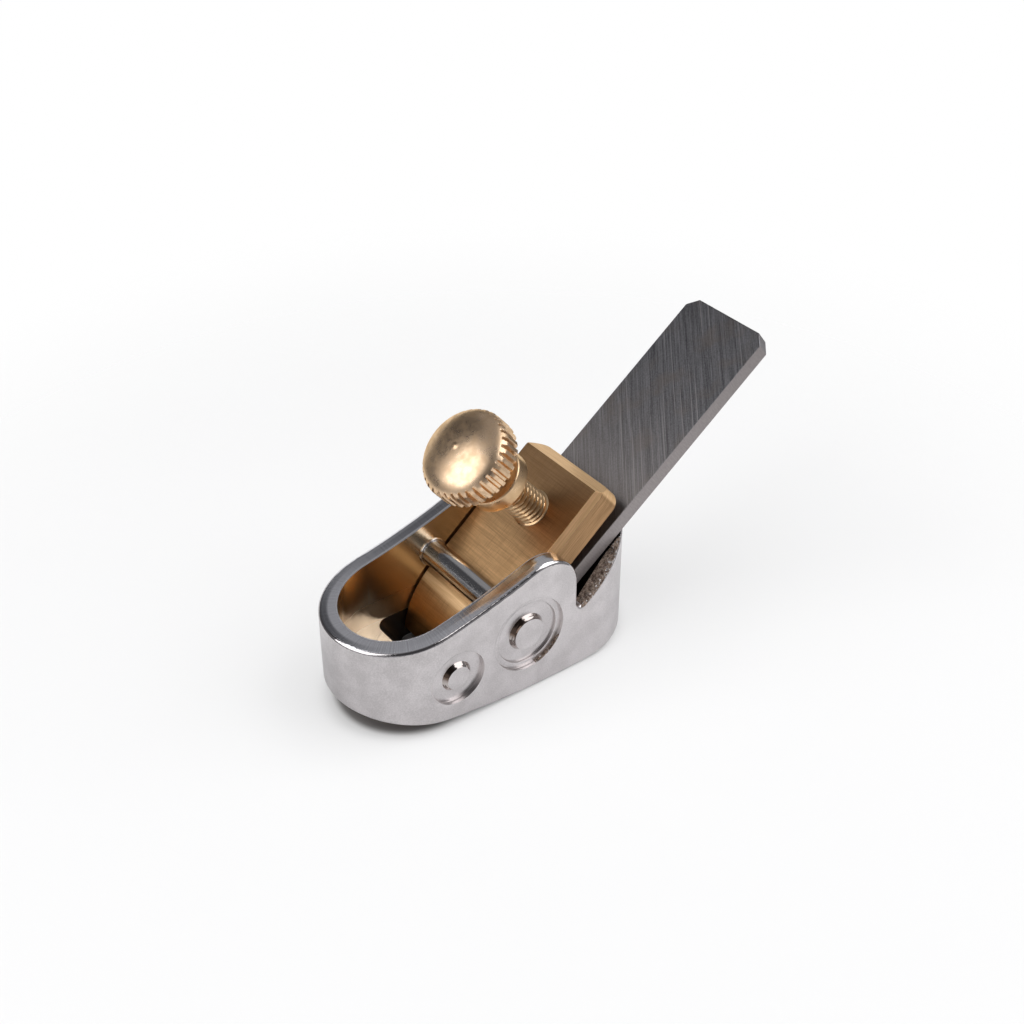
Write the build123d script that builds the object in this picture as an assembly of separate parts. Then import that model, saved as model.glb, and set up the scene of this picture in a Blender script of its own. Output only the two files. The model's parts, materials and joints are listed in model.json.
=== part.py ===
from build123d import *
import math
import os

# A violin maker's finger plane: a small plated body with a rocker sole, an iron on a sloping bed,
# a brass lever cap held under a cross bar, and a brass thumb screw that clamps the iron.
# X points to the toe, Y across the body and Z up. The sole touches a flat bench at the origin.
# Lengths are in millimetres and angles in degrees.

# Iron
iron_width = 12.0
iron_thickness = 1.9
iron_length = 49.9
iron_bevel = 25.0
iron_corner_chamfer = 1.2
iron_side_clearance = 0.5
iron_bed_clearance = 0.03

# Body
body_length = 36.0
cheek_thickness = 2.0
heel_to_contact = 13.25
sole_radius = 95.0
sole_edge_radius = 0.4
bed_angle = 37.3
bed_offset = 4.2
rim_toe_height = 11.3
rim_toe_slope = 3.0
rim_ear_slope = 19.0
rim_edge_radius = 0.45
ear_height = 15.75
ear_radius = 4.2
ear_back = -2.75
notch_radius = 0.6

# Well, mouth and bed relief inside the body
well_floor_height = 4.2
mouth_front_gap = 1.5
mouth_top_gap = 4.3
mouth_corner_radius = 1.7
relief_depth = 1.0
relief_width = 12.6
relief_top_width = 14.2
relief_start = 1.0
relief_end = 14.5

# Turned finger-grip rings on both cheeks
large_grip_x = 3.7
large_grip_z = 7.6
large_grip_radius = 4.48
large_grip_inner_radius = 3.76
large_grip_step = 0.4
large_grip_depth = 0.65
large_disc_radius = 2.85
large_disc_top_radius = 2.2
small_grip_x = 12.8
small_grip_z = 6.25
small_grip_radius = 3.22
small_grip_depth = 0.5
small_disc_radius = 2.35
small_disc_top_radius = 1.75

# Cross bar
bar_radius = 1.5
bar_along_bed = 1.77
bar_socket_depth = 0.8

# Lever cap
cap_thickness = 3.6
cap_lift = 1.15
cap_tilt = 2.3
cap_length_behind_bar = 17.0
cap_side_clearance = 0.25
cap_groove_depth = 0.64
cap_groove_clearance = 0.08
cap_back_bevel = 1.1
cap_back_bevel_depth = 1.8
cap_edge_bevel = 0.65
cap_corner_radius = 1.6
nose_start = 1.8
nose_facet_length = 1.1
nose_slope = 8.0
nose_length = 6.8
nose_drop = 2.9
nose_foot_length = 0.8
nose_relief_length = 2.2
nose_clearance = 0.07

# Thumb screw
screw_behind_bar = 10.4
screw_root_radius = 1.75
screw_hole_clearance = 0.45
screw_tip_radius = 1.3
screw_tip_length = 0.6
screw_tip_clearance = 0.1
screw_exposed_length = 6.5
collar_radius = 3.5
collar_length = 2.0
collar_edge_radius = 0.25
neck_radius = 2.7
neck_length = 2.7
head_radius = 5.08
head_band_height = 1.9
head_dome_height = 2.2
head_edge_radius = 0.3

# How far a cutting shape runs past the face it cuts, and how near counts as on a face
overrun = 1.0
nearness = 0.01

# Sizes that follow from the ones above
well_width = iron_width + 2 * iron_side_clearance
body_width = well_width + 2 * cheek_thickness
heel_x = -heel_to_contact
toe_x = heel_x + body_length
reach = 2 * (body_length + iron_length)
bed_sin = math.sin(math.radians(bed_angle))
bed_cos = math.cos(math.radians(bed_angle))

# The bed's frame: x climbs the bed towards the heel, z stands square out of it.
bed = Plane(
    origin=(bed_offset * bed_sin, 0, bed_offset * bed_cos),
    x_dir=(-bed_cos, 0, bed_sin),
    z_dir=(bed_sin, 0, bed_cos),
)
iron_top = iron_bed_clearance + iron_thickness

# The cap's frame: its origin is on the cap's top below the bar, x runs back, z stands square out.
cap_angle = math.radians(bed_angle + cap_tilt)
tilt = math.radians(cap_tilt)
cap_top_over_iron = cap_lift + cap_thickness
cap_origin = bed.from_local_coords(Vector(bar_along_bed, 0, iron_top + cap_top_over_iron))
cap_frame = Plane(
    origin=cap_origin,
    x_dir=(-math.cos(cap_angle), 0, math.sin(cap_angle)),
    z_dir=(math.sin(cap_angle), 0, math.cos(cap_angle)),
)
cap_width = well_width - 2 * cap_side_clearance
bar_above_cap = bar_radius - cap_groove_depth
bar_centre = cap_frame.from_local_coords(Vector(0, 0, bar_above_cap))


def bed_height(x):
    """Height of the bed plane at a place along the body."""
    return (bed_offset - x * bed_sin) / bed_cos


def iron_below_cap(along):
    """Depth of the iron's face below the cap's top, at a distance behind the bar."""
    return (cap_top_over_iron + along * math.sin(tilt)) / math.cos(tilt)


def edge_along_bed():
    """Place along the bed where the iron's upper face comes through the sole: the cutting edge."""
    raised = bed_offset + iron_top
    half = sole_radius * bed_sin
    return half - math.sqrt(half**2 - raised**2 + 2 * sole_radius * bed_cos * raised)


def block(frame, low, high):
    """A box between two corners given in a frame."""
    size = [b - a for a, b in zip(low, high)]
    centre = [(a + b) / 2 for a, b in zip(low, high)]
    return frame * Pos(*centre) * Box(*size)


def turned(points, frame):
    """A solid turned about a frame's z axis from an outline of radius and height."""
    return frame * revolve(Plane.XZ * make_face(Polyline(*points, close=True)), Axis.Z)


def corner_cut(corner, size, depth):
    """A triangle that bevels a square top corner at this distance from the frame's origin."""
    steepness = depth / size
    return make_face(
        Polyline(
            (corner - size - overrun / steepness, overrun),
            (corner + overrun, overrun),
            (corner + overrun, -depth - overrun * steepness),
            close=True,
        )
    )


def outer_form():
    """The body's outside: a stadium in plan, cut to the rim, ears, notch and bed, on a rocker sole."""
    middle = (heel_x + toe_x) / 2
    plan = extrude(Pos(middle, 0) * SlotOverall(body_length, body_width), amount=reach)

    ear_x = ear_back + ear_radius
    ear_z = ear_height - ear_radius
    lean = math.radians(rim_ear_slope)
    toe_lean = math.radians(rim_toe_slope)
    ear_front = (ear_x + ear_radius * math.sin(lean), ear_z + ear_radius * math.cos(lean))
    rim_end = (toe_x, rim_toe_height)
    rim = Spline(
        ear_front,
        rim_end,
        tangents=[(math.cos(lean), -math.sin(lean)), (math.cos(toe_lean), -math.sin(toe_lean))],
    )
    ear = ThreePointArc((ear_back, ear_z), (ear_x, ear_height), ear_front)
    notch = (ear_back, bed_height(ear_back))
    below = Polyline(
        rim_end,
        (toe_x + overrun, rim_toe_height),
        (toe_x + overrun, -overrun),
        (heel_x - overrun, -overrun),
        (heel_x - overrun, bed_height(heel_x - overrun)),
        notch,
        (ear_back, ear_z),
    )
    side = Plane.XZ * make_face(rim + ear + below)
    corner = side.vertices().sort_by_distance((notch[0], 0, notch[1]))[0]
    side = fillet(corner, notch_radius)
    rocker = Pos(0, 0, sole_radius) * Rot(90, 0, 0) * Cylinder(sole_radius, reach)
    form = plan & extrude(side, amount=body_width, both=True) & rocker

    # Round the sole's edge all round, and the rim's outer edge from one ear round the toe to the other.
    form = fillet(form.edges().filter_by(is_sole_edge), sole_edge_radius)
    return fillet(form.edges().filter_by(is_rim_edge), rim_edge_radius)


def stands_up(line):
    """True for an edge that runs nearly straight up at its middle."""
    return abs(line.tangent_at(0.5).Z) > math.cos(math.radians(25))


def is_sole_edge(line):
    """True for an edge round the bottom of the outer wall."""
    return line.position_at(0.5).Z < rim_toe_height / 2 and not stands_up(line)


def is_rim_edge(line):
    """True for an edge along the outer top of the cheeks, ears and toe."""
    middle = line.position_at(0.5)
    radius = body_width / 2
    on_cheek = abs(middle.Y) > radius - nearness
    on_toe = abs(math.hypot(middle.X - toe_x + radius, middle.Y) - radius) < nearness
    high = middle.Z > rim_toe_height - overrun and middle.X > ear_back
    return high and (on_cheek or on_toe) and not stands_up(line)


def well():
    """The open well between the cheeks, from the toe to the heel, above the bed and the toe's floor."""
    end = toe_x - cheek_thickness
    plan = Pos(end - reach / 2, 0, well_floor_height) * SlotOverall(reach, well_width)
    above_bed = block(bed, (-reach, -reach, 0), (reach, reach, reach))
    return extrude(plan, amount=reach) & above_bed


def mouth():
    """The slot through the sole in front of the bed, with a leaning front wall and rounded corners."""
    edge = bed.from_local_coords(Vector(edge_along_bed(), 0, iron_top))
    lean = (mouth_front_gap - mouth_top_gap) / (edge.Z - well_floor_height)
    front = edge.X + mouth_top_gap
    slot = Pos(front - body_length / 2, 0) * Rectangle(body_length, well_width)
    slot = fillet(slot.vertices().group_by(Axis.X)[-1], mouth_corner_radius)
    depth = 2 * well_floor_height
    cut = extrude(Pos(0, 0, well_floor_height) * slot, amount=depth, dir=(-lean, 0, -1))
    return cut & block(bed, (-reach, -reach, 0), (reach, reach, reach))


def bed_relief():
    """The hollow in the bed under the iron, with sloping sides where it opens at the heel."""
    half = relief_width / 2
    floor = block(bed, (relief_start, -half, -relief_depth), (relief_end, half, overrun))
    behind_ears = (bed_offset * bed_sin - ear_back) / bed_cos
    top_half = relief_top_width / 2
    section = Polyline(
        (-half, -relief_depth),
        (half, -relief_depth),
        (top_half, nearness),
        (-top_half, nearness),
        close=True,
    )
    flared = extrude(Plane.YZ * make_face(section), amount=relief_end - behind_ears)
    return floor + bed * Pos(behind_ears, 0, 0) * flared


def grip_rings():
    """The turned recesses on both cheeks, each with a disc left standing in the middle."""
    large = [
        (large_disc_top_radius, overrun),
        (large_disc_top_radius, 0),
        (large_disc_radius, -large_grip_depth),
        (large_grip_inner_radius, -large_grip_depth),
        (large_grip_inner_radius, -large_grip_step),
        (large_grip_radius, -large_grip_step),
        (large_grip_radius, overrun),
    ]
    small = [
        (small_disc_top_radius, overrun),
        (small_disc_top_radius, 0),
        (small_disc_radius, -small_grip_depth),
        (small_grip_radius, -small_grip_depth),
        (small_grip_radius, overrun),
    ]
    cuts = []
    for side in (-1, 1):
        for points, x, z in ((large, large_grip_x, large_grip_z), (small, small_grip_x, small_grip_z)):
            cheek = Plane(origin=(x, side * body_width / 2, z), x_dir=(1, 0, 0), z_dir=(0, side, 0))
            cuts.append(turned(points, cheek))
    return cuts


def cross_bar():
    """The steel bar that the lever cap hooks under, pressed into a blind socket in each cheek."""
    length = well_width + 2 * bar_socket_depth
    return Pos(*bar_centre) * Rot(90, 0, 0) * Cylinder(bar_radius, length)


def plane_body():
    body = outer_form() - well() - mouth() - bed_relief() - cross_bar()
    for cut in grip_rings():
        body = body - cut
    return body


def cutting_iron():
    """A flat iron, ground to a bevel on the side that faces the bed, with its top corners clipped."""
    start = edge_along_bed()
    end = start + iron_length
    bevel = iron_thickness / math.tan(math.radians(iron_bevel))
    outline = Polyline(
        (start, iron_top),
        (end, iron_top),
        (end, iron_bed_clearance),
        (start + bevel, iron_bed_clearance),
        close=True,
    )
    iron = extrude(Plane.XZ * make_face(outline), amount=iron_width / 2, both=True)
    corners = iron.edges().filter_by(Axis.Z).group_by(Axis.X)[-1]
    return bed * chamfer(corners, iron_corner_chamfer)


def lever_cap():
    """A brass block with a curved nose on the iron, a groove for the bar and a hole for the screw."""
    back = cap_length_behind_bar
    front = -nose_start - nose_length
    foot = nose_clearance - iron_below_cap(front)
    slope = math.radians(nose_slope)
    facet_end = (
        -nose_start - nose_facet_length * math.cos(slope),
        -nose_facet_length * math.sin(slope),
    )
    nose = TangentArc(facet_end, (front, -nose_drop), tangent=(-math.cos(slope), -math.sin(slope)))
    outline = nose + Polyline(
        (front, -nose_drop),
        (front, foot),
        (front + nose_foot_length, foot),
        (front + nose_foot_length + nose_relief_length, -cap_thickness),
        (back, -cap_thickness),
        (back, 0),
        (-nose_start, 0),
        facet_end,
    )
    cap = extrude(Plane.XZ * make_face(outline), amount=cap_width / 2, both=True)
    cap = fillet(cap.edges().filter_by(Axis.Z).group_by(Axis.X)[-1], cap_corner_radius)

    # The top is bevelled right across its back and along one long edge. The other long edge is sharp.
    back_cut = corner_cut(back, cap_back_bevel, cap_back_bevel_depth)
    cap = cap - extrude(Plane.XZ * back_cut, amount=cap_width, both=True)
    edge_cut = corner_cut(cap_width / 2, cap_edge_bevel, cap_edge_bevel)
    along = extrude(Plane.YZ * edge_cut, amount=nose_start + back + overrun)
    cap = cap - Pos(back + overrun, 0, 0) * Rot(0, 0, 180) * along
    groove = Pos(0, 0, bar_above_cap) * Rot(90, 0, 0) * Cylinder(bar_radius + cap_groove_clearance, reach)
    hole = Pos(screw_behind_bar, 0, 0) * Cylinder(screw_root_radius + screw_hole_clearance, reach)
    return cap_frame * (cap - groove - hole)


def thumb_screw():
    """A turned brass screw: a tip on the iron, a shank through the cap, a collar, a neck and a domed head."""
    tip = screw_tip_clearance - iron_below_cap(screw_behind_bar)
    collar = screw_exposed_length
    neck = collar + collar_length
    head = neck + neck_length
    shoulder = head + head_band_height
    top = shoulder + head_dome_height
    shank = Polyline(
        (0, top),
        (0, tip),
        (screw_tip_radius, tip),
        (screw_root_radius, tip + screw_tip_length),
        (screw_root_radius, collar),
        (collar_radius, collar),
        (collar_radius, neck),
        (neck_radius, neck),
        (neck_radius, head),
        (head_radius, head),
        (head_radius, shoulder),
    )
    dome = Spline((head_radius, shoulder), (0, top), tangents=[(0, 1), (-1, 0)])
    section = make_face(shank + dome)
    for height in (collar, neck):
        corner = section.vertices().sort_by_distance((collar_radius, height))[0]
        section = fillet(corner, collar_edge_radius)
    section = fillet(section.vertices().sort_by_distance((head_radius, head))[0], head_edge_radius)
    return cap_frame * Pos(screw_behind_bar, 0, 0) * revolve(Plane.XZ * section, Axis.Z)


nodes = {
    "plane_body": plane_body(),
    "cross_bar": cross_bar(),
    "cutting_iron": cutting_iron(),
    "lever_cap": lever_cap(),
    "thumb_screw": thumb_screw(),
}
os.makedirs("parts", exist_ok=True)
for name, shape in nodes.items():
    export_step(shape, f"parts/{name}.step")
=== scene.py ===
import json
import math

import bpy
from mathutils import Matrix, Vector


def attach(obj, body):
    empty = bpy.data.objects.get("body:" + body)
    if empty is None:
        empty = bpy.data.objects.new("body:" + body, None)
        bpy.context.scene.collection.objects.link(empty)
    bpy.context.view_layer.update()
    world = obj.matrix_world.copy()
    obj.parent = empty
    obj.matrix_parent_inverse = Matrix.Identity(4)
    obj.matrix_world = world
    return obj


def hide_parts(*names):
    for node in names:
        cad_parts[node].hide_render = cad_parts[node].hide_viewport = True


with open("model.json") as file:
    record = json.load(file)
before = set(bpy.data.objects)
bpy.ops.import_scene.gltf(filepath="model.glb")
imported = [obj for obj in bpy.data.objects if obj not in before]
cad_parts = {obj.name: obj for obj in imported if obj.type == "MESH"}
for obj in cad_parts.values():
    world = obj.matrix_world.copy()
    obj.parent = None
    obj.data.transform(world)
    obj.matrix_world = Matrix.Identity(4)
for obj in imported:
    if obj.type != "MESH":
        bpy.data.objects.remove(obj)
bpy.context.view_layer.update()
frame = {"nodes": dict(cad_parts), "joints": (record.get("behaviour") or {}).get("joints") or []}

# Lengths below are in millimetres and are turned into metres by this factor. Angles are in degrees.
MM = 0.001

# The body's sizes that its finish follows.
bed_angle = 37.3
bed_normal = (math.sin(math.radians(bed_angle)), 0, math.cos(math.radians(bed_angle)))
bed_offset = 4.2
bed_slack = 0.06
bed_edge_start = 7.5
bed_edge_end = 8.1
cheek_y = 8.5
body_middle_x = 4.75
body_half_length = 9.5
toe_centre_x = body_middle_x + body_half_length
well_radius = 6.5
well_slack = 0.1
well_floor_z = 4.2
well_polish_start_z = well_floor_z + 1.0
well_polish_end_z = well_floor_z + 4.0
mouth_top_z = well_floor_z - 0.05
rim_low_z = 10.6
land_edge_width = 0.35
land_round_start = cheek_y - 1.1
land_round_end = cheek_y - 0.1
ear_z = 17.0
ear_foot_z = ear_z - 2.5
# Painted light: from this point the plating is painted paler towards the heel and darker towards the toe, by
# this much per mm.
light_middle_x = 7.0
light_per_mm = 0.016
scratch_centre = (9.0, 4.0)

# The finger grips: their centres, the discs as radius at the top and at the foot, and the radii of all edges.
# The photo shows slimmer discs than the solid has, so the body that is seen has these.
large_grip = (3.7, 7.6)
large_disc = (2.2, 2.85)
large_disc_shown = (1.87, 2.22)
large_grip_edges = (4.48, 3.76, large_disc_shown[0])
small_grip = (12.8, 6.25)
small_disc = (1.75, 2.35)
small_disc_shown = (1.37, 1.78)
small_grip_edges = (3.22, small_disc_shown[0])
grip_depth = 0.75
disc_wall_width = 0.6
edge_width = 0.13
ring_waves = 42.0

# The iron, the painted shadow in the gap beside it, and the relief under it, which narrows to the heel in the
# photo.
iron_half_width = 6.0
iron_mark_slant = 43.0
# Where painted light makes the iron paler towards the cap.
iron_light_start_x = -24.0
iron_light_end_x = -4.0
gap_tip_x = -12.0
gap_taper = 0.055
gap_softness = 0.1
relief_half_width = 7.1
relief_half_width_shown = 6.2
relief_middle_x = -6.0

# The lever cap: its rear and its nose, darkened with painted shade, and the edge above the nose, with a
# painted highlight.
cap_tilt = 2.3
cap_rear_start_x = 2.0
cap_rear_end_x = -7.0
nose_start_x = 7.5
nose_end_x = 9.5
nose_edge_x = 7.1
nose_edge_reach = 0.5
nose_edge_core = 0.2

# The thumb screw: heights are measured along its axis from the top of the lever cap.
screw_tip_z = -5.06
screw_tip_radius = 1.3
screw_tip_length = 0.6
thread_root_radius = 1.6
thread_groove_radius = 1.5
thread_crest_radius = 2.0
thread_pitch = 0.7
thread_flank = 1.15
thread_start_z = 0.03
thread_foot_radius = 2.2
thread_foot_length = 0.15
collar_z = 6.5
collar_length = 2.0
collar_radius = 3.5
collar_edge = 0.25
neck_radius = 2.7
head_z = 11.2
head_radius = 5.08
head_edge = 0.2
head_band = 1.9
head_dome = 2.2
pip_radius = 0.35
pip_height = 0.1
knurl_count = 34
knurl_depth = 0.38
knurl_floor = 0.3
knurl_mouth = 0.55
steps_per_knurl = 14
steps_per_pitch = 14
edge_steps = 6
underside_steps = 6
band_steps = 8
dome_steps = 60
screw_crease_angle = 40
screw_merge = 0.00001

# The bead of plating round each end of the cross bar, where it meets the wall.
bead_y = 6.42
bead_radius = 1.56
bead_thickness = 0.14
bead_segments = 72
bead_round_segments = 16

# Edge rounding on the machined pieces.
cap_edge = 0.12
iron_edge = 0.1
rounding_segments = 3
rounding_angle = 25
flat_angle = 0.5
copy_merge = 0.0001

# Colours of the plated body. Each pair is the two ends of a mottled colour.
plate_colors = ((0.453, 0.43, 0.434, 1), (0.68, 0.649, 0.657, 1))
# Painted shade on the walls of the grips, and painted light on the walls of the rings.
grip_wall_shade_color = (0.44, 0.40, 0.385, 1)
ring_wall_light_color = (0.70, 0.66, 0.65, 1)
# Painted shade on the discs' walls that face the toe and up.
disc_wall_shade_color = (0.13, 0.09, 0.07, 1)
land_colors = ((0.66, 0.66, 0.69, 1), (0.88, 0.88, 0.92, 1))
# A painted highlight on the tops of the ears.
ear_highlight_color = (0.98, 0.96, 0.95, 1)
cast_colors = ((0.14, 0.10, 0.08, 1), (0.64, 0.50, 0.41, 1))
glint_color = (0.95, 0.93, 0.92, 1)
# A painted shadow in the gap beside the iron.
gap_shadow_color = (0.012, 0.01, 0.009, 1)
well_colors = ((0.78, 0.61, 0.41, 1), (0.92, 0.74, 0.52, 1))
# Painted light: the well's floor is painted far paler than the plating.
well_floor_lit_colors = ((0.80, 0.79, 0.81, 1), (0.96, 0.95, 0.97, 1))
# Painted shade in the mouth, over a rough as-cast finish.
mouth_shade_color = (0.10, 0.09, 0.085, 1)

# Colours of the steel and the brass.
bar_colors = ((0.56, 0.55, 0.56, 1), (0.72, 0.71, 0.71, 1))
iron_colors = ((0.062, 0.062, 0.068, 1), (0.33, 0.325, 0.34, 1))
iron_scratch_color = (0.45, 0.43, 0.43, 1)
iron_stain_color = (0.22, 0.185, 0.165, 1)
# Painted light on the iron towards the cap.
iron_light_color = (0.50, 0.44, 0.41, 1)
iron_side_colors = ((0.30, 0.275, 0.275, 1), (0.58, 0.535, 0.53, 1))
cap_colors = ((0.48, 0.285, 0.135, 1), (0.82, 0.505, 0.255, 1))
cap_hatch_color = (0.40, 0.235, 0.105, 1)
cap_tone_color = (0.47, 0.275, 0.125, 1)
# Painted shade on the cap's rear and on its nose.
cap_rear_shade_color = (0.20, 0.11, 0.06, 1)
cap_nose_shade_color = (0.62, 0.31, 0.085, 1)
cap_band_colors = ((0.70, 0.43, 0.21, 1), (0.98, 0.64, 0.36, 1))
# Painted shade on the cap's upright sides.
cap_side_shade_colors = ((0.28, 0.165, 0.085, 1), (0.56, 0.35, 0.185, 1))
# A painted highlight on the back bevel and on the edge above the nose.
cap_edge_highlight_colors = ((0.74, 0.46, 0.22, 1), (1.0, 0.70, 0.40, 1))
cap_tint = (1.0, 0.9, 0.74, 1)
screw_colors = ((0.80, 0.585, 0.395, 1), (0.68, 0.48, 0.305, 1))
# Painted shade below the screw's head and in its thread's grooves.
under_head_shade_color = (0.62, 0.42, 0.23, 1)
groove_shade_color = (0.20, 0.115, 0.05, 1)
screw_tint = (1.0, 0.88, 0.68, 1)

# Camera: its place and the point it looks at, read from the photo.
camera_at = (82.51, 111.32, 115.80)
camera_aim = (-0.095, 0.276, 17.083)
camera_lens = 56.25
camera_sensor = 36.0
camera_clip = 5.0

# The room that the metal mirrors: grey, a little lighter beyond the toe, dark towards the photographer, in
# two corners and in a band above the white backdrop behind. Heights and sides are parts of a unit direction.
# A ramp is two cosines of the angle from a side: where that part of the room begins, and where it is full.
backdrop_side = (-0.597, -0.802, 0.0)
backdrop_ramp = (0.5, 0.8)
backdrop_top = 0.10
shade_ramp = (0.35, 0.65)
shade_top = 0.46
top_fade = 0.1
dark_corner = (0.280, -0.770, 0.574)
dark_corner_ramp = (0.86, 0.95)
low_corner = (0.70, -0.71, -0.10)
low_corner_ramp = (0.80, 0.95)
low_corner_share = 0.8
photographer = (0.324, 0.694, 0.643)
photographer_ramp = (0.78, 0.92)
room_grey = (0.30, 0.30, 0.31, 1)
room_grey_toe = (0.46, 0.46, 0.47, 1)
room_dark = (0.07, 0.07, 0.075, 1)
backdrop_white = (1, 1, 1, 1)

# The pale floor fades into the white backdrop between these two distances. Part of the backdrop's white lies
# on it, but not under the body, and the metal mirrors that white only away from the body.
floor_near = 50.0
floor_far = 110.0
floor_white = 0.5
floor_drop = 0.05
floor_white_start = cheek_y - 2.0
floor_white_end = cheek_y + 1.5
# A painted shadow darkens the floor under the body.
floor_shadowed_start = cheek_y - 0.5
floor_shadowed_end = cheek_y - 1.5
floor_mirror_end = cheek_y + 16.0
floor_colors = ((0.86, 0.86, 0.86, 1), (0.88, 0.88, 0.88, 1))
floor_shadowed_color = (0.2, 0.19, 0.19, 1)


def vector_mm(values):
    return Vector(values) * MM


# Small helpers for node materials.


class Nodes:
    """Short ways to add nodes to a node tree."""

    def __init__(self, tree):
        self.tree = tree

    def put(self, socket, value):
        if isinstance(value, bpy.types.NodeSocket):
            self.tree.links.new(value, socket)
        else:
            socket.default_value = value

    def node(self, kind, inputs=(), **settings):
        made = self.tree.nodes.new(kind)
        for key, value in settings.items():
            setattr(made, key, value)
        for key, value in dict(inputs).items():
            self.put(made.inputs[key], value)
        return made

    def math(self, operation, a, b=0.0, clamp=False):
        return self.node("ShaderNodeMath", {0: a, 1: b}, operation=operation, use_clamp=clamp).outputs[0]

    def vector(self, operation, a, b=(0, 0, 0)):
        made = self.node("ShaderNodeVectorMath", {0: a, 1: b}, operation=operation)
        return made.outputs["Value" if operation in ("DOT_PRODUCT", "LENGTH") else "Vector"]

    def split(self, vector):
        return self.node("ShaderNodeSeparateXYZ", {0: vector}).outputs

    def join(self, x, y=0.0):
        return self.node("ShaderNodeCombineXYZ", {0: x, 1: y}).outputs[0]

    def span(self, a, b):
        """The length of a step a one way and b square to it."""
        return self.math("SQRT", self.math("ADD", self.math("POWER", a, 2.0), self.math("POWER", b, 2.0)))

    def step(self, value, low, high):
        """0 at low, 1 at high and a smooth ramp between them."""
        inputs = {"Value": value, "From Min": low, "From Max": high}
        return self.node("ShaderNodeMapRange", inputs, interpolation_type="SMOOTHSTEP").outputs["Result"]

    def noise(self, place, scale, detail=3.0, roughness=0.55, stretch=None):
        if stretch:
            place = self.node("ShaderNodeMapping", {"Vector": place, "Scale": stretch}).outputs[0]
        inputs = {"Vector": place, "Scale": scale, "Detail": detail, "Roughness": roughness}
        return self.node("ShaderNodeTexNoise", inputs).outputs["Fac"]

    def mix(self, factor, a, b):
        """A number between a and b."""
        return self.node("ShaderNodeMix", {"Factor": factor, 2: a, 3: b}, data_type="FLOAT").outputs[0]

    def blend(self, factor, a, b):
        """A colour between a and b."""
        return self.node("ShaderNodeMix", {"Factor": factor, 6: a, 7: b}, data_type="RGBA").outputs[2]


class Shade(Nodes):
    """A node material with one surface shader."""

    def __init__(self, name):
        self.material = bpy.data.materials.new(name)
        self.material.use_nodes = True
        super().__init__(self.material.node_tree)
        self.surface = self.tree.nodes["Principled BSDF"]

    def set(self, name, value):
        self.put(self.surface.inputs[name], value)

    def place(self):
        """The object's own coordinates in millimetres."""
        coords = self.node("ShaderNodeTexCoord").outputs["Object"]
        return self.vector("MULTIPLY", coords, (1 / MM, 1 / MM, 1 / MM))

    def normal(self):
        return self.node("ShaderNodeNewGeometry").outputs["Normal"]

    def bump(self, height, strength, distance, normal=None):
        inputs = {"Height": height, "Strength": strength, "Distance": distance * MM}
        if normal:
            inputs["Normal"] = normal
        return self.node("ShaderNodeBump", inputs).outputs[0]

    def metal(self, color, roughness, normal, metallic=1.0):
        self.set("Metallic", metallic)
        self.set("Base Color", color)
        self.set("Roughness", roughness)
        self.set("Normal", normal)
        return self.material


# The plated body's finish.


def middle_distance(s, x, y):
    """The distance in plan from the body's middle line."""
    from_centre = s.math("ABSOLUTE", s.math("SUBTRACT", x, body_middle_x))
    past_end = s.math("MAXIMUM", s.math("SUBTRACT", from_centre, body_half_length), 0.0)
    return s.span(past_end, y)


def finger_grips(s, x, y, z):
    """Where the finger grips and their discs are, fine turned rings, and worn edges."""
    on_cheek = s.math("GREATER_THAN", s.math("ABSOLUTE", y), cheek_y - grip_depth)
    grips, discs, rings, edges = 0.0, 0.0, 0.0, 0.0
    for centre, radii in ((large_grip, large_grip_edges), (small_grip, small_grip_edges)):
        away = s.span(s.math("SUBTRACT", x, centre[0]), s.math("SUBTRACT", z, centre[1]))
        here = s.math("MULTIPLY", s.math("LESS_THAN", away, radii[0] + edge_width), on_cheek)
        waves = s.math("SINE", s.math("MULTIPLY", away, ring_waves))
        grips = s.math("MAXIMUM", here, grips)
        discs = s.math("MAXIMUM", s.math("LESS_THAN", away, radii[-1] + disc_wall_width), discs)
        rings = s.math("ADD", s.math("MULTIPLY", waves, here), rings)
        for radius in radii:
            apart = s.math("ABSOLUTE", s.math("SUBTRACT", away, radius))
            worn = s.math("MULTIPLY", s.step(apart, edge_width, 0.0), on_cheek)
            edges = s.math("MAXIMUM", worn, edges)
    return grips, discs, rings, edges


def filed_marks(s, x, y):
    """Fine marks that cross the rim's land, square to its edge all round the toe."""
    past_toe = s.math("MAXIMUM", s.math("SUBTRACT", x, toe_centre_x), 0.0)
    turn = s.math("ARCTAN2", past_toe, s.math("ABSOLUTE", y))
    run = s.math("ADD", s.math("MULTIPLY", turn, cheek_y), s.math("MINIMUM", x, toe_centre_x))
    return s.noise(s.join(run), 5.0, 3.0, 0.7)


def curved_scratches(s, x, y):
    """A few thin arcs that a cutter left on the well's floor."""
    away = s.span(s.math("SUBTRACT", x, scratch_centre[0]), s.math("SUBTRACT", y, scratch_centre[1]))
    return s.step(s.noise(s.join(away), 3.5, 3.0, 0.7), 0.5, 0.62)


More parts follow.
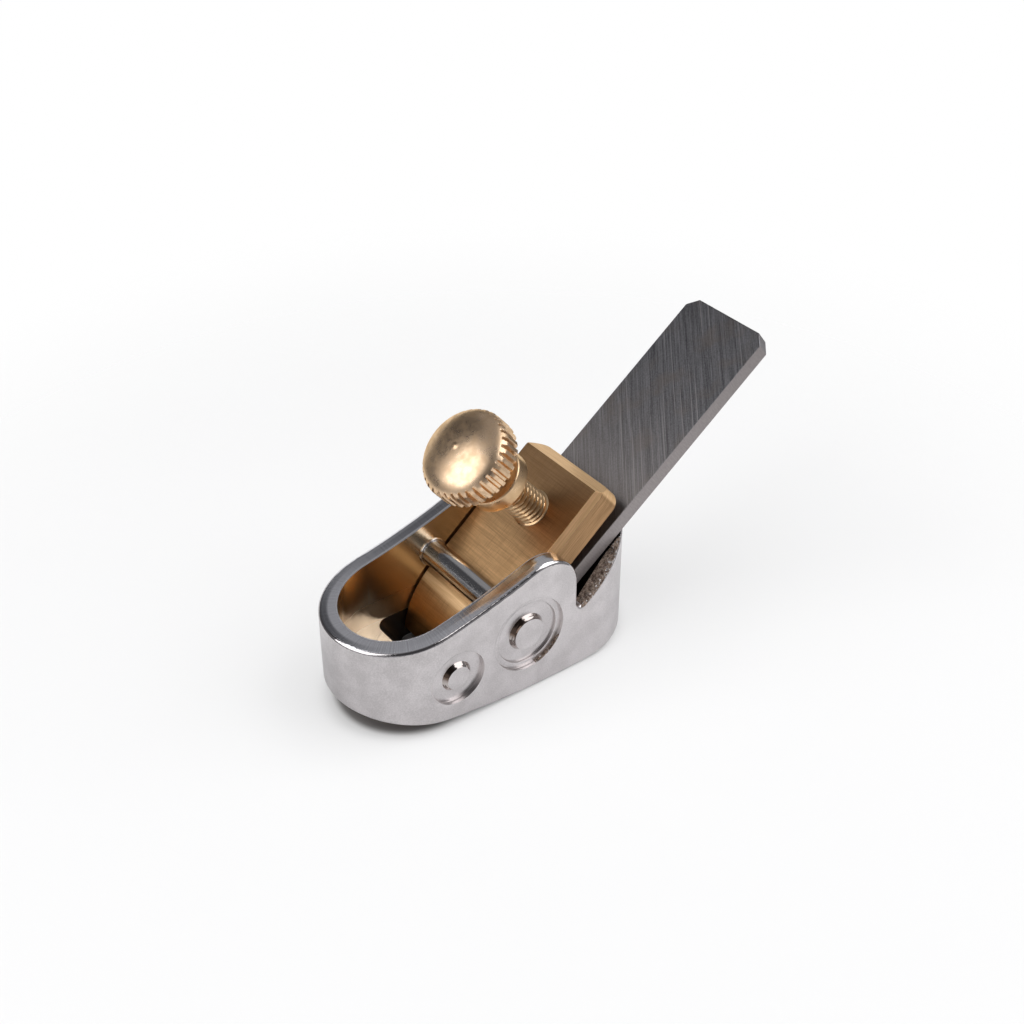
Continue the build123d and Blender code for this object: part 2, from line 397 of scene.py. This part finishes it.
class BodyZones:
    """Where the parts of the body's surface lie that differ in finish, the marks on them, and where light and
    shade are painted on them.
    """

    def __init__(self, s, place):
        normal = s.normal()
        x, y, z = s.split(place)
        toeward, sideways, up = s.split(normal)
        from_middle = middle_distance(s, x, y)
        self.painted_heel_light = s.math("MULTIPLY", s.math("SUBTRACT", light_middle_x, x), light_per_mm)

        # The bed with its outer edge, and a painted shadow in the gap beside the iron.
        over_bed = s.math("SUBTRACT", s.vector("DOT_PRODUCT", place, bed_normal), bed_offset)
        facing_bed = s.step(s.vector("DOT_PRODUCT", normal, bed_normal), 0.3, 0.5)
        self.bed = s.math("MULTIPLY", facing_bed, s.math("LESS_THAN", over_bed, bed_slack))
        self.bed_edge = s.step(from_middle, bed_edge_start, bed_edge_end)
        from_iron = s.math("SUBTRACT", s.math("ABSOLUTE", y), iron_half_width)
        gap_width = s.math("MULTIPLY", s.math("SUBTRACT", x, gap_tip_x), gap_taper)
        self.gap = s.step(s.math("SUBTRACT", from_iron, gap_width), gap_softness, 0.0)

        # The well between the cheeks, its floor and the mouth.
        self.inside = s.math("LESS_THAN", from_middle, well_radius + well_slack)
        outside = s.math("SUBTRACT", 1.0, self.inside)
        self.well_foot = s.step(z, well_polish_end_z, well_polish_start_z)
        self.well_floor = s.math("MULTIPLY", self.inside, s.step(up, 0.8, 0.95))
        self.scratches = s.math("MULTIPLY", curved_scratches(s, x, y), self.well_floor)
        in_mouth = s.math("MULTIPLY", self.inside, s.math("LESS_THAN", z, mouth_top_z))
        self.mouth = s.math("MULTIPLY", in_mouth, s.math("GREATER_THAN", up, -0.9))

        # The rim: its ground land, the ears with a painted highlight, the rounded edges of the land and the
        # polished edge outside it.
        high = s.math("GREATER_THAN", z, rim_low_z)
        self.land = s.math("MULTIPLY", s.math("MULTIPLY", s.step(up, 0.86, 0.93), high), outside)
        self.filing = filed_marks(s, x, y)
        self.ear = s.step(z, ear_foot_z, ear_z)
        self.land_round = s.math("MULTIPLY", self.land, s.step(from_middle, land_round_start, land_round_end))
        by_well = s.step(from_middle, well_radius + land_edge_width, well_radius + well_slack)
        land_edge = s.math("MULTIPLY", self.land, by_well)
        off_land = s.math("MULTIPLY", s.math("SUBTRACT", outside, self.land), high)
        rim = s.math("MULTIPLY", off_land, s.step(up, 0.05, 0.25))

        # The finger grips: the walls of the rings and of the discs, with painted shade on the discs' far
        # walls, those that face the toe and up.
        in_grip, on_disc, self.turned_rings, worn_edges = finger_grips(s, x, y, z)
        self.worn_edges = s.math("MAXIMUM", worn_edges, land_edge)
        self.grip_wall = s.math("MULTIPLY", in_grip, s.step(s.math("ABSOLUTE", sideways), 0.985, 0.93))
        self.ring_wall = s.math("MULTIPLY", self.grip_wall, s.math("SUBTRACT", 1.0, on_disc))
        far_side = s.math("MULTIPLY", s.step(toeward, 0.1, 0.35), s.step(up, 0.0, 0.3))
        self.shaded_disc_wall = s.math("MULTIPLY", s.math("MULTIPLY", self.grip_wall, on_disc), far_side)
        self.polished = s.math("MAXIMUM", rim, self.grip_wall)


def body_color(s, place, zone, grain, glints):
    cloud = s.noise(place, 0.35, 4.0)
    spread = s.mix(0.55, s.step(cloud, 0.3, 0.7), s.step(grain, 0.3, 0.7))
    # Painted light: a gradient that makes the plating paler towards the heel.
    spread = s.math("ADD", spread, zone.painted_heel_light, clamp=True)
    plate = s.blend(spread, *plate_colors)
    # Painted shade on the grips' walls, and painted light on the walls of the rings, over the same plating.
    plate = s.blend(zone.grip_wall, plate, grip_wall_shade_color)
    plate = s.blend(zone.ring_wall, plate, ring_wall_light_color)
    # Painted shade on the discs' walls that face the toe and up.
    plate = s.blend(zone.shaded_disc_wall, plate, disc_wall_shade_color)
    ground = s.blend(s.step(zone.filing, 0.25, 0.75), *land_colors)
    # Painted highlight: the ears' tops are near white.
    ground = s.blend(zone.ear, ground, ear_highlight_color)
    lumps = s.step(s.noise(place, 3.2, 6.0, 0.75), 0.35, 0.65)
    cast = s.blend(lumps, *cast_colors)
    cast = s.blend(glints, cast, glint_color)
    # Painted shadow in the gap beside the iron.
    cast = s.blend(zone.gap, cast, gap_shadow_color)
    color = s.blend(zone.land, plate, ground)
    color = s.blend(zone.inside, color, s.blend(grain, *well_colors))
    # Painted light: the well's floor is painted far paler than the plating.
    color = s.blend(zone.well_floor, color, s.blend(grain, *well_floor_lit_colors))
    # The mouth's walls are painted dark: a rough as-cast finish and painted shade.
    color = s.blend(zone.mouth, color, mouth_shade_color)
    return s.blend(zone.bed, color, cast)


def body_roughness(s, zone, grain, glints):
    rough = s.mix(grain, 0.26, 0.33)
    rough = s.mix(zone.land, rough, s.mix(grain, 0.12, 0.22))
    rough = s.mix(zone.polished, rough, 0.06)
    rough = s.mix(zone.ring_wall, rough, 0.24)
    rough = s.mix(zone.inside, rough, s.mix(zone.well_foot, 0.22, 0.36))
    rough = s.mix(zone.well_floor, rough, s.mix(grain, 0.28, 0.38))
    rough = s.mix(zone.mouth, rough, 0.55)
    return s.mix(zone.bed, rough, s.mix(glints, 0.34, 0.12))


def body_relief(s, place, zone, grain):
    """A fine satin tooth, filed marks, scratches, rounded edges, turned rings and the cast bed."""
    relief = s.bump(grain, 0.06, 0.02)
    relief = s.bump(s.math("MULTIPLY", zone.filing, zone.land), 0.30, 0.03, relief)
    relief = s.bump(zone.scratches, 0.35, 0.04, relief)
    relief = s.bump(s.math("SUBTRACT", 1.0, zone.land_round), 0.8, 0.16, relief)
    relief = s.bump(zone.turned_rings, 0.05, 0.03, relief)
    relief = s.bump(s.math("SUBTRACT", 1.0, zone.worn_edges), 0.6, 0.05, relief)
    pits = s.math("MULTIPLY", s.noise(place, 2.6, 8.0, 0.75), zone.bed)
    return s.bump(pits, 1.0, 0.7, relief)


def plated_body_material():
    """Satin plating with a filed rim, a bright well whose floor is painted light, a mouth darkened with
    painted shade, and a rough bed.
    """
    s = Shade("plated_body_finish")
    place = s.place()
    zone = BodyZones(s, place)
    grain = s.noise(place, 6.0, 4.0, 0.75)
    glints = s.math("MULTIPLY", s.step(s.noise(place, 3.5, 3.0), 0.55, 0.63), zone.bed_edge)
    color = body_color(s, place, zone, grain, glints)
    rough = body_roughness(s, zone, grain, glints)
    return s.metal(color, rough, body_relief(s, place, zone, grain))


# The finishes of the bar, the iron, the cap and the screw.


def bar_material():
    """Polished steel with a few dull specks."""
    s = Shade("polished_bar_finish")
    place = s.place()
    streak = s.noise(place, 3.0, 4.0, 0.6, (1.0, 0.25, 1.0))
    speckle = s.noise(place, 6.0, 5.0, 0.7)
    rough = s.mix(s.step(speckle, 0.4, 0.65), 0.05, 0.20)
    return s.metal(s.blend(streak, *bar_colors), rough, s.bump(speckle, 0.10, 0.04))


def slope(angle):
    """The direction that climbs a slope of this angle towards the heel."""
    return Vector((-math.cos(math.radians(angle)), 0, math.sin(math.radians(angle))))


def grain_place(s, place, along, across, length):
    """Coordinates for marks that run along one direction and are about length times as long as wide."""
    run = s.math("DIVIDE", s.vector("DOT_PRODUCT", place, tuple(along)), length)
    return s.join(run, s.vector("DOT_PRODUCT", place, tuple(across)))


def iron_material():
    """Dark ground steel with slanting marks, with painted light that makes it paler towards the cap, and
    paler on its sides.
    """
    s = Shade("ground_iron_finish")
    place = s.place()
    climb = slope(bed_angle)
    slant = math.radians(iron_mark_slant)
    along = climb * -math.sin(slant) + Vector((0, math.cos(slant), 0))
    across = climb * math.cos(slant) + Vector((0, math.sin(slant), 0))

    # Grinding marks, single scratches and brown stains on the wide faces.
    fine = s.noise(grain_place(s, place, along, across, 60), 7.0, 4.0, 0.8)
    wide = s.noise(grain_place(s, place, along, across, 50), 2.5, 2.0, 0.5)
    marks = s.mix(0.3, s.mix(0.25, fine, wide), s.noise(place, 6.0, 4.0, 0.8))
    scratch = s.step(s.noise(grain_place(s, place, along, across, 110), 4.0, 1.0), 0.64, 0.69)
    stain = s.step(s.noise(place, 0.3, 3.0), 0.48, 0.72)
    # Painted light: the iron is painted paler towards the cap, where the cap shades it.
    low = s.step(s.split(place)[0], iron_light_start_x, iron_light_end_x)
    color = s.blend(s.step(marks, 0.34, 0.66), *iron_colors)
    color = s.blend(s.math("MULTIPLY", scratch, 0.6), color, iron_scratch_color)
    color = s.blend(s.math("MULTIPLY", stain, 0.45), color, iron_stain_color)
    color = s.blend(s.math("MULTIPLY", low, 0.5), color, iron_light_color)

    # The long sides.
    side = s.step(s.math("ABSOLUTE", s.split(s.normal())[1]), 0.6, 0.9)
    side_marks = s.noise(grain_place(s, place, (0.6, 0, 0.8), climb, 6), 7.0, 4.0, 0.7)
    color = s.blend(side, color, s.blend(side_marks, *iron_side_colors))
    rough = s.mix(side, s.mix(marks, 0.38, 0.48), 0.68)
    return s.metal(color, rough, s.bump(s.mix(side, marks, side_marks), 0.2, 0.03))


def cap_material():
    """Brushed brass, with painted shade at the rear, on the nose and on the sides, and painted highlights on
    the back bevel and above the nose.
    """
    s = Shade("machined_cap_finish")
    place = s.place()
    climb = slope(bed_angle + cap_tilt)
    x = s.split(place)[0]
    sideways = s.math("ABSOLUTE", s.split(s.normal())[1])
    band = s.step(sideways, 0.3, 0.5)
    side = s.step(sideways, 0.8, 0.95)
    back = s.step(s.vector("DOT_PRODUCT", s.normal(), tuple(climb)), 0.35, 0.6)
    from_nose_edge = s.math("ABSOLUTE", s.math("SUBTRACT", x, nose_edge_x))
    edge_highlight = s.math("MAXIMUM", back, s.step(from_nose_edge, nose_edge_reach, nose_edge_core))

    # Marks across the top, along the bevelled edge, and a faint hatch over them.
    across_marks = grain_place(s, place, (0, 1, 0), climb, 30)
    along_marks = grain_place(s, place, climb, (0.6, -0.5, 0.7), 25)
    fine = s.mix(band, s.noise(across_marks, 6.0, 4.0, 0.8), s.noise(along_marks, 4.0, 5.0, 0.8))
    wide = s.mix(band, s.noise(across_marks, 2.0, 3.0, 0.6), s.noise(along_marks, 1.6, 3.0, 0.6))
    marks = s.mix(0.3, fine, wide)
    mottle = s.step(marks, 0.3, 0.7)
    hatch = s.step(s.noise(grain_place(s, place, climb, (0, 1, 0), 20), 7.0, 3.0, 0.6), 0.45, 0.7)
    tone = s.step(s.noise(place, 0.3, 3.0), 0.45, 0.7)
    # Painted shade darkens the cap's rear and its nose.
    rear = s.step(x, cap_rear_start_x, cap_rear_end_x)
    nose = s.step(x, nose_start_x, nose_end_x)

    color = s.blend(mottle, *cap_colors)
    color = s.blend(s.math("MULTIPLY", hatch, 0.4), color, cap_hatch_color)
    color = s.blend(s.math("MULTIPLY", tone, 0.35), color, cap_tone_color)
    color = s.blend(s.math("MULTIPLY", rear, 0.55), color, cap_rear_shade_color)
    color = s.blend(s.math("MULTIPLY", nose, 0.6), color, cap_nose_shade_color)
    # Painted shade on the cap's upright sides.
    edges = s.blend(side, s.blend(mottle, *cap_band_colors), s.blend(mottle, *cap_side_shade_colors))
    color = s.blend(band, color, edges)
    # Painted highlight on the back bevel and on the edge above the nose, partly metallic.
    color = s.blend(edge_highlight, color, s.blend(mottle, *cap_edge_highlight_colors))
    rough = s.mix(band, s.mix(marks, 0.30, 0.40), 0.52)
    s.set("Specular Tint", cap_tint)
    return s.metal(color, rough, s.bump(marks, 0.5, 0.03), s.mix(edge_highlight, 1.0, 0.6))


def screw_material(joint):
    """Satin brass with tarnish, with painted shade below the head and in the thread's grooves."""
    s = Shade("turned_screw_finish")
    place = s.place()
    axis = tuple(Vector(joint["axis"]).normalized())
    arm = s.vector("SUBTRACT", place, tuple(Vector(joint["pos_m"]) / MM))
    height = s.vector("DOT_PRODUCT", arm, axis)
    from_axis = s.vector("LENGTH", s.vector("CROSS_PRODUCT", arm, axis))
    under_head_shade = s.step(height, head_z + head_edge, collar_z)
    on_thread = s.math("LESS_THAN", height, collar_z)
    groove = s.math("MULTIPLY", on_thread, s.step(from_axis, thread_crest_radius, thread_groove_radius))
    smear = s.noise(place, 1.1, 3.0, 0.6)
    grain = s.noise(place, 7.0, 2.0, 0.5)
    color = s.blend(s.step(smear, 0.35, 0.7), *screw_colors)
    # Painted shade below the head and in the thread's grooves.
    color = s.blend(s.math("MULTIPLY", under_head_shade, 0.8), color, under_head_shade_color)
    color = s.blend(groove, color, groove_shade_color)
    rough = s.mix(s.step(smear, 0.3, 0.7), 0.26, 0.38)
    s.set("Specular Tint", screw_tint)
    return s.metal(color, rough, s.bump(grain, 0.03, 0.03))


# Shapes.


def new_object(name, mesh, material):
    piece = bpy.data.objects.new(name, mesh)
    bpy.context.scene.collection.objects.link(piece)
    piece.data.materials.clear()
    piece.data.materials.append(material)
    return piece


def joint_named(name):
    return next(joint for joint in frame["joints"] if joint["name"] == name)


def fitted_body(name, material):
    """A copy of the body with slimmer discs in the finger grips, and a relief that narrows to the heel."""
    mesh = frame["nodes"]["plane_body"].data.copy()
    discs = ((large_grip, large_disc, large_disc_shown), (small_grip, small_disc, small_disc_shown))
    for vertex in mesh.vertices:
        x, y, z = vertex.co / MM
        off_bed = abs(vertex.co.dot(Vector(bed_normal)) / MM - bed_offset)
        on_relief_edge = max(off_bed, abs(abs(y) - relief_half_width)) < edge_width
        if on_relief_edge and x < relief_middle_x:
            vertex.co.y = math.copysign(relief_half_width_shown, y) * MM
        below_cheek = cheek_y - abs(y)
        for centre, made, shown in discs:
            away = math.hypot(x - centre[0], z - centre[1])
            if away < made[1] + edge_width and below_cheek < grip_depth:
                level = 0 if below_cheek < edge_width else 1
                ratio = shown[level] / made[level]
                vertex.co.x = (centre[0] + (x - centre[0]) * ratio) * MM
                vertex.co.z = (centre[1] + (z - centre[1]) * ratio) * MM
    mesh.update()
    return new_object(name, mesh, material)


def merge_points(piece, distance):
    """Opens a piece for editing, selects all of it and joins points that lie closer than this."""
    bpy.context.view_layer.objects.active = piece
    bpy.ops.object.select_all(action="DESELECT")
    piece.select_set(True)
    bpy.ops.object.mode_set(mode="EDIT")
    bpy.ops.mesh.select_all(action="SELECT")
    bpy.ops.mesh.remove_doubles(threshold=distance * MM)


def softened_copy(node, name, material, edge):
    """A copy of a CAD node's shape with its sharp edges rounded."""
    mesh = frame["nodes"][node].data.copy()
    piece = new_object(name, mesh, material)
    merge_points(piece, copy_merge)
    bpy.ops.mesh.customdata_custom_splitnormals_clear()
    bpy.ops.mesh.dissolve_limited(angle_limit=math.radians(flat_angle))
    bpy.ops.object.mode_set(mode="OBJECT")
    bevel = piece.modifiers.new("edges", "BEVEL")
    bevel.width = edge * MM
    bevel.segments = rounding_segments
    bevel.limit_method = "ANGLE"
    bevel.angle_limit = math.radians(rounding_angle)
    bevel.harden_normals = True
    mesh.shade_smooth()
    return piece


def arc(centre, radius, start, end):
    """Points of a round edge between two angles, as radius and height."""
    angles = [math.radians(start + (end - start) * i / edge_steps) for i in range(edge_steps + 1)]
    return [(centre[0] + radius * math.cos(a), centre[1] + radius * math.sin(a)) for a in angles]


def screw_section():
    """The plain outline of the screw as radius and height, from the tip to the top of the dome."""
    points = [(0.0, screw_tip_z), (screw_tip_radius, screw_tip_z)]
    points.append((thread_root_radius, screw_tip_z + screw_tip_length))
    points.append((thread_root_radius, thread_start_z))
    points.append((thread_foot_radius, thread_start_z))
    start = thread_start_z + thread_foot_length
    points.append((thread_crest_radius, start))
    steps = int((collar_z - start) / thread_pitch * steps_per_pitch)
    for i in range(steps):
        points.append((thread_groove_radius, start + (collar_z - start) * i / steps))
    points.append((thread_groove_radius, collar_z))

    # The collar and the neck.
    neck_z = collar_z + collar_length
    edge = collar_radius - collar_edge
    points += arc((edge, collar_z + collar_edge), collar_edge, -90, 0)
    points += arc((edge, neck_z - collar_edge), collar_edge, 0, 90)
    points += [(neck_radius, neck_z), (neck_radius, head_z)]

    # The head: its under side, the knurled band and the dome with a small pip left by the lathe.
    width = (head_radius - neck_radius) / underside_steps
    points += [(neck_radius + width * i, head_z) for i in range(1, underside_steps - 1)]
    points += arc((head_radius - head_edge, head_z + head_edge), head_edge, -90, 0)
    rise = (head_band - head_edge) / band_steps
    points += [(head_radius, head_z + head_edge + rise * i) for i in range(1, band_steps + 1)]
    shoulder = head_z + head_band
    for i in range(1, dome_steps + 1):
        a = math.radians(90 * i / dome_steps)
        radius = head_radius * math.cos(a)
        pip = pip_height * max(0.0, 1 - radius / pip_radius)
        points.append((radius, shoulder + (head_dome - pip_height) * math.sin(a) + pip))
    return points


def screw_radius(radius, height, turn):
    """The outline's radius at one angle, with the thread added and the knurl cut."""
    if thread_start_z < height < collar_z and radius == thread_groove_radius:
        phase = (height / thread_pitch - turn / (2 * math.pi)) % 1.0
        ridge = min(1.0, thread_flank * (1 - abs(2 * phase - 1)))
        return radius + (thread_crest_radius - thread_groove_radius) * ridge
    if height >= head_z:
        phase = abs(2 * ((turn * knurl_count / (2 * math.pi)) % 1.0) - 1)
        groove = min(1.0, max(0.0, (knurl_mouth - phase) / (knurl_mouth - knurl_floor)))
        return min(radius, head_radius - knurl_depth * groove)
    return radius


def thumb_screw(name):
    """The screw, turned about the axis of its joint."""
    joint = joint_named("screw_turn")
    axis = Vector(joint["axis"]).normalized()
    across = Vector((0, 1, 0))
    turned = Matrix((across, axis.cross(across), axis)).transposed()
    origin = Vector(joint["pos_m"])
    count = knurl_count * steps_per_knurl
    section = screw_section()
    vertices, faces = [], []
    for radius, height in section:
        for k in range(count):
            turn = 2 * math.pi * k / count
            r = screw_radius(radius, height, turn)
            vertices.append(origin + turned @ vector_mm((r * math.cos(turn), r * math.sin(turn), height)))
    for i in range(len(section) - 1):
        for k in range(count):
            m = (k + 1) % count
            faces.append((i * count + k, i * count + m, (i + 1) * count + m, (i + 1) * count + k))
    mesh = bpy.data.meshes.new(name)
    mesh.from_pydata(vertices, [], faces)
    mesh.validate()
    mesh.shade_smooth()
    piece = new_object(name, mesh, screw_material(joint))
    merge_points(piece, screw_merge)
    bpy.ops.object.mode_set(mode="OBJECT")
    mesh.set_sharp_from_angle(angle=math.radians(screw_crease_angle))
    return piece


def bar_bead(name, side, material):
    """A thin ring round one end of the cross bar."""
    bpy.ops.mesh.primitive_torus_add(
        location=Vector(joint_named("cap_tilt")["pos_m"]) + vector_mm((0, side * bead_y, 0)),
        rotation=(math.radians(90), 0, 0),
        major_radius=bead_radius * MM,
        minor_radius=bead_thickness * MM,
        major_segments=bead_segments,
        minor_segments=bead_round_segments,
    )
    piece = bpy.context.active_object
    piece.name = name
    piece.data.materials.append(material)
    piece.data.shade_smooth()
    return piece


def pieces():
    """Dresses the four bodies. The cross bar stays the CAD node, with a better finish."""
    polished = bar_material()
    frame["nodes"]["cross_bar"].data.materials[0] = polished
    for name, side in (("bar_bead_near", 1), ("bar_bead_far", -1)):
        bead = bar_bead(name, side, polished)
        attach(bead, "plane")
    body = fitted_body("plane_body_plated", plated_body_material())
    iron = softened_copy("cutting_iron", "cutting_iron_ground", iron_material(), iron_edge)
    cap = softened_copy("lever_cap", "lever_cap_machined", cap_material(), cap_edge)
    screw = thumb_screw("thumb_screw_turned")
    for piece, rides, node, slot in (
        (body, "plane", "plane_body", "plated_body"),
        (iron, "iron", "cutting_iron", "iron_steel"),
        (cap, "cap", "lever_cap", "cap_brass"),
        (screw, "screw", "thumb_screw", "screw_brass"),
    ):
        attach(piece, rides)
        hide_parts(node)


# Stage.


def floor():
    """A pale sheet that fades into the white backdrop away from the plane, with a painted shadow under the
    body.
    """
    half = floor_far * MM
    corners = [(-half, -half, 0), (half, -half, 0), (half, half, 0), (-half, half, 0)]
    mesh = bpy.data.meshes.new("floor")
    mesh.from_pydata(corners, [], [(0, 1, 2, 3)])
    s = Shade("pale_floor")
    place = s.place()
    x, y, _ = s.split(place)
    from_middle = middle_distance(s, x, y)
    # Painted shadow on the floor under the body.
    shadowed = s.step(from_middle, floor_shadowed_start, floor_shadowed_end)
    pale = s.blend(s.noise(place, 0.05, 3.0), *floor_colors)
    s.set("Base Color", s.blend(shadowed, pale, floor_shadowed_color))
    s.set("Roughness", 0.7)
    s.set("Specular IOR Level", 0.2)

    # The backdrop's white is added for the camera and for what the metal mirrors.
    ray = s.node("ShaderNodeLightPath").outputs
    open_floor = s.step(from_middle, floor_white_start, floor_white_end)
    far_floor = s.step(from_middle, cheek_y, floor_mirror_end)
    shown = s.math("MULTIPLY", ray["Is Camera Ray"], open_floor)
    mirrored = s.math("MAXIMUM", ray["Is Glossy Ray"], ray["Is Transmission Ray"])
    mirrored = s.math("MULTIPLY", mirrored, far_floor)
    white_share = s.math("MULTIPLY", s.math("MAXIMUM", shown, mirrored), floor_white)
    white = s.node("ShaderNodeEmission", {"Color": backdrop_white, "Strength": 1.0}).outputs[0]
    lifted = {0: white_share, 1: s.surface.outputs[0], 2: white}
    sheet = s.node("ShaderNodeMixShader", lifted).outputs[0]
    clear = s.node("ShaderNodeBsdfTransparent").outputs[0]
    faded = {0: s.step(s.vector("LENGTH", place), floor_near, floor_far), 1: sheet, 2: clear}
    output = s.tree.nodes["Material Output"]
    s.put(output.inputs["Surface"], s.node("ShaderNodeMixShader", faded).outputs[0])
    piece = new_object("floor", mesh, s.material)
    piece.location.z = -floor_drop * MM


def lamp(name, azimuth, height, distance, size, power, glossy=True):
    """A square soft box that looks at the plane from this direction."""
    light = bpy.data.lights.new(name, "AREA")
    light.size = size * MM
    light.energy = power
    turn, rise = math.radians(azimuth), math.radians(height)
    way = Vector((math.cos(rise) * math.cos(turn), math.cos(rise) * math.sin(turn), math.sin(rise)))
    item = bpy.data.objects.new(name, light)
    item.location = way * distance * MM
    item.rotation_euler = way.to_track_quat("Z", "Y").to_euler()
    item.visible_glossy = glossy
    bpy.context.scene.collection.objects.link(item)


def surroundings():
    """A grey room with a white backdrop. The camera sees white all round, the metal sees both."""
    world = bpy.data.worlds.new("studio")
    bpy.context.scene.world = world
    world.use_nodes = True
    world.node_tree.nodes.clear()
    s = Nodes(world.node_tree)
    direction = s.node("ShaderNodeTexCoord").outputs["Generated"]

    def towards(side, ramp):
        """From 0 to 1 along the ramp as a direction turns to this side."""
        return s.step(s.vector("DOT_PRODUCT", direction, side), *ramp)

    x, _, height = s.split(direction)
    low = s.step(height, backdrop_top + top_fade, backdrop_top)
    backdrop = s.math("MULTIPLY", towards(backdrop_side, backdrop_ramp), low)
    under_shade = s.step(height, shade_top, shade_top - top_fade)
    shade = s.math("MULTIPLY", towards(backdrop_side, shade_ramp), under_shade)
    corner = s.math("MULTIPLY", towards(low_corner, low_corner_ramp), low_corner_share)
    behind_camera = towards(photographer, photographer_ramp)
    dark = s.math("MAXIMUM", towards(dark_corner, dark_corner_ramp), behind_camera)
    dark = s.math("MAXIMUM", s.math("MAXIMUM", dark, shade), corner)
    grey = s.blend(s.step(x, 0.1, 0.9), room_grey, room_grey_toe)
    grey = s.blend(dark, grey, room_dark)
    room = s.node("ShaderNodeBackground", {"Color": grey, "Strength": 1.0}).outputs[0]
    white = s.node("ShaderNodeBackground", {"Color": backdrop_white, "Strength": 1.0}).outputs[0]
    ray = s.node("ShaderNodeLightPath").outputs
    mirrored = s.math("MAXIMUM", ray["Is Glossy Ray"], ray["Is Transmission Ray"])
    seen = s.math("MAXIMUM", ray["Is Camera Ray"], s.math("MULTIPLY", mirrored, backdrop))
    both = s.node("ShaderNodeMixShader", {0: seen, 1: room, 2: white}).outputs[0]
    s.node("ShaderNodeOutputWorld", {"Surface": both})


def camera():
    data = bpy.data.cameras.new("camera")
    data.lens = camera_lens
    data.sensor_width = camera_sensor
    data.clip_start = camera_clip * MM
    item = bpy.data.objects.new("camera", data)
    item.location = vector_mm(camera_at)
    item.rotation_euler = (vector_mm(camera_aim) - item.location).to_track_quat("-Z", "Y").to_euler()
    bpy.context.scene.collection.objects.link(item)
    bpy.context.scene.camera = item


pieces()
floor()
surroundings()
lamp("toe_box", azimuth=-10, height=36, distance=350, size=320, power=0.66)
lamp("heel_box", azimuth=142, height=48, distance=350, size=320, power=0.7)
lamp("sky", azimuth=0, height=90, distance=600, size=900, power=1.6, glossy=False)
camera()
bpy.context.scene.view_settings.view_transform = "Standard"
